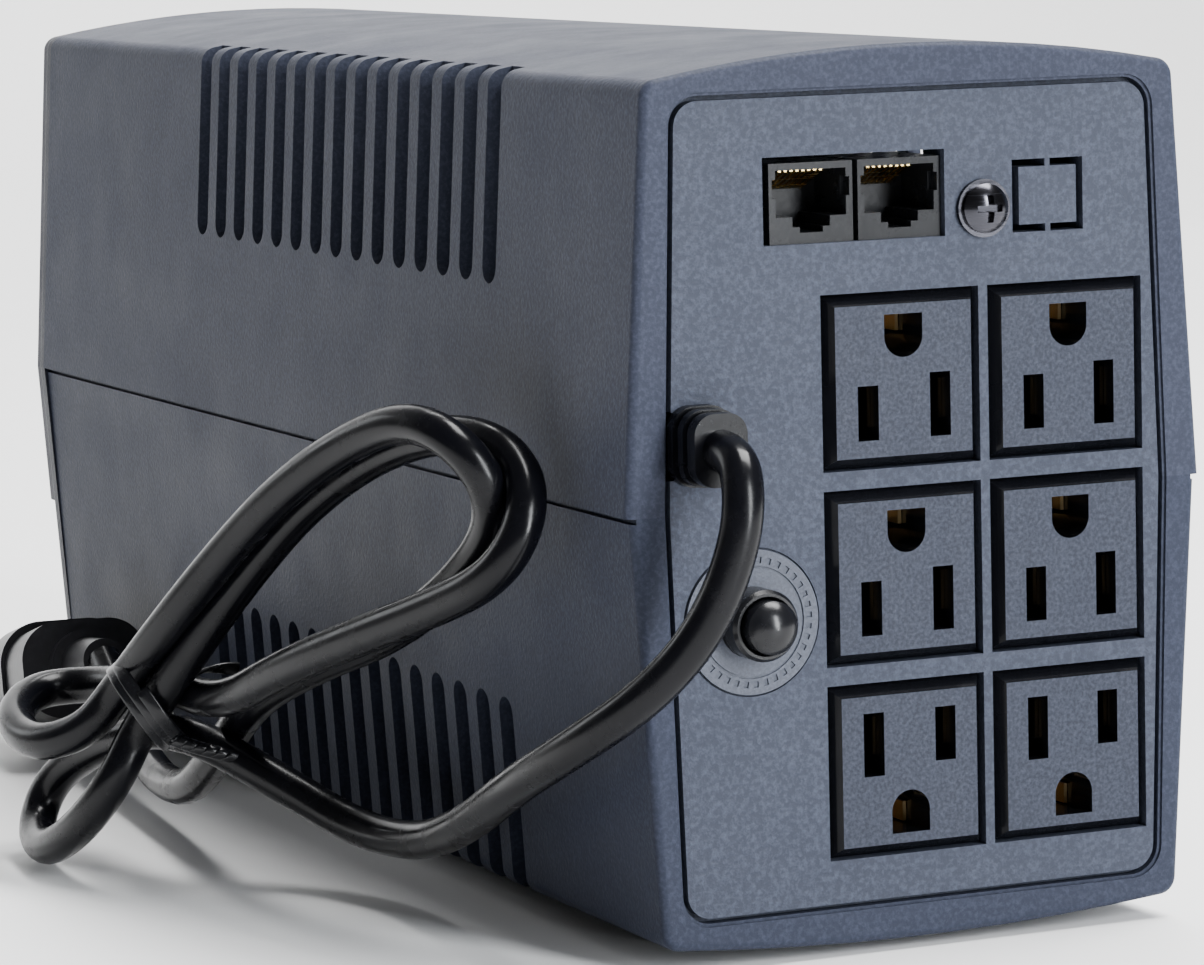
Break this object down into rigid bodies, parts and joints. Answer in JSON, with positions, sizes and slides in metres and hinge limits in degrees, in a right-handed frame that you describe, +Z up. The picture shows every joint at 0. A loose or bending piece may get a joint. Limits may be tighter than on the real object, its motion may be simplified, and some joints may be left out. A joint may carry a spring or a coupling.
{
  "type": "uninterruptible power supply",
  "caption": "Upright uninterruptible power supply with vented side walls, a rear panel of mains outlets and network jacks, a reset button and a tied mains cord.",
  "frame": {"origin": "on the floor, below the middle of the box of everything but the cord", "axes": "+Z up, +Y out of the rear panel, +X towards the side that the cord lies on"},
  "size_m": [0.175, 0.3171, 0.1435],
  "materials": {
    "case_upper": "fine-grained satin",
    "case_lower": "fine-grained satin",
    "bezel": "satin",
    "panel": "fine-grained satin",
    "outlet": "fine-grained face, glossy bevels",
    "jack": "satin",
    "black_plastic": "glossy",
    "dial": "satin",
    "cord": "satin sheath",
    "foot": "matt",
    "dark_nickel": "dark nickel plate",
    "steel": "zinc plate",
    "brass": "plain",
    "gold_wire": "gold flash",
    "core_steel": "varnished laminations",
    "winding": "yellow tape",
    "board": "solder mask",
    "heat_sink": "extruded",
    "component": "moulded",
    "relay": "moulded",
    "battery": "moulded",
    "red_wire": "insulation",
    "black_wire": "insulation",
    "ribbon": "insulation",
    "lens": "tinted, clear",
    "led": "diffused"
  },
  "bodies": {
    "body": {"battery_case": "battery", "battery_lead_black": "black_wire", "battery_lead_red": "red_wire", "battery_lid": "battery", "battery_strap": "steel", "battery_terminals": "brass", "board_fuse": "component", "breaker_body": "component", "breaker_bushing": "black_plastic", "breaker_dial": "dial", "breaker_spring": "steel", "breaker_terminals": "brass", "buzzer": "component", "capacitors": "component", "case_screws": "steel", "cord_hank": "cord", "cord_lead": "cord", "cord_strain_relief": "cord", "cord_tail": "cord", "cord_tie": "cord", "display_board": "board", "front_bezel": "bezel", "front_ribbon": "ribbon", "heat_sinks": "heat_sink", "indicator_lens": "lens", "inner_screws": "steel", "jack_1": "jack", "jack_2": "jack", "jack_contacts": "gold_wire", "lower_base": "case_lower", "main_board": "board", "outlet_1": "outlet", "outlet_2": "outlet", "outlet_3": "outlet", "outlet_4": "outlet", "outlet_5": "outlet", "outlet_6": "outlet", "outlet_ground_contacts": "brass", "outlet_line_contacts": "brass", "outlet_neutral_contacts": "brass", "panel_screw": "dark_nickel", "panel_screw_washer": "dark_nickel", "plug_body": "cord", "plug_prongs": "brass", "power_button_spring": "steel", "power_switch": "component", "power_transistors": "component", "rear_panel": "panel", "relays": "relay", "rubber_feet": "foot", "status_leds": "led", "surge_board": "board", "transformer_coil": "winding", "transformer_core": "core_steel", "transformer_leads": "black_wire", "transformer_plate": "steel", "upper_cover": "case_upper"},
    "power_button": {"power_button": "black_plastic"},
    "breaker_button": {"breaker_button": "black_plastic"}
  },
  "joints": [
    {"name": "power_button_slide", "type": "slide", "parent": "body", "child": "power_button", "axis": [0, 1, 0], "range_m": [0, 0.0016], "stiffness_N_per_m": 400, "deforming": ["power_button_spring"]},
    {"name": "breaker_button_slide", "type": "slide", "parent": "body", "child": "breaker_button", "axis": [0, -1, 0], "range_m": [0, 0.0025], "stiffness_N_per_m": 500, "deforming": ["breaker_spring"]}
  ]
}
